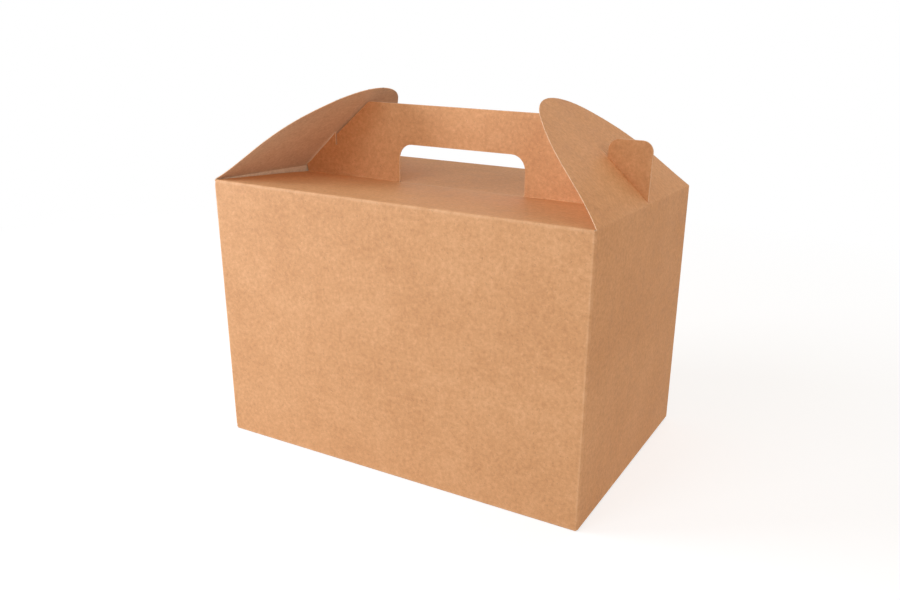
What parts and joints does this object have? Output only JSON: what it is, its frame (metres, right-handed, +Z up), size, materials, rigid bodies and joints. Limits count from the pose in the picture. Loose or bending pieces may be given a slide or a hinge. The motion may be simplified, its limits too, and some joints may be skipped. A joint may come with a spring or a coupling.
{
  "type": "picnic box",
  "caption": "Folded kraft board picnic box with a slotted carrying handle on its lids and hinged ears that hook over the end tabs of the handle.",
  "frame": {"origin": "centre of the base, on the surface that the box stands on", "axes": "+X along the long side of the box and its handle, +Y across it towards the back wall with the glued seam, +Z up"},
  "size_m": [0.27, 0.179, 0.2402],
  "materials": {
    "kraft_board": "smooth uncoated brown kraft board, semi-matt"
  },
  "bodies": {
    "carton": {"carton": "kraft_board"},
    "left_ear": {"left_ear": "kraft_board"},
    "right_ear": {"right_ear": "kraft_board"}
  },
  "joints": [
    {"name": "left_ear_fold", "type": "hinge", "parent": "carton", "child": "left_ear", "pos_m": [-0.13475, 0, 0.18105], "axis": [0, -1, 0], "range_deg": [0, 140]},
    {"name": "right_ear_fold", "type": "hinge", "parent": "carton", "child": "right_ear", "pos_m": [0.13475, 0, 0.18105], "axis": [0, 1, 0], "range_deg": [0, 140]}
  ]
}
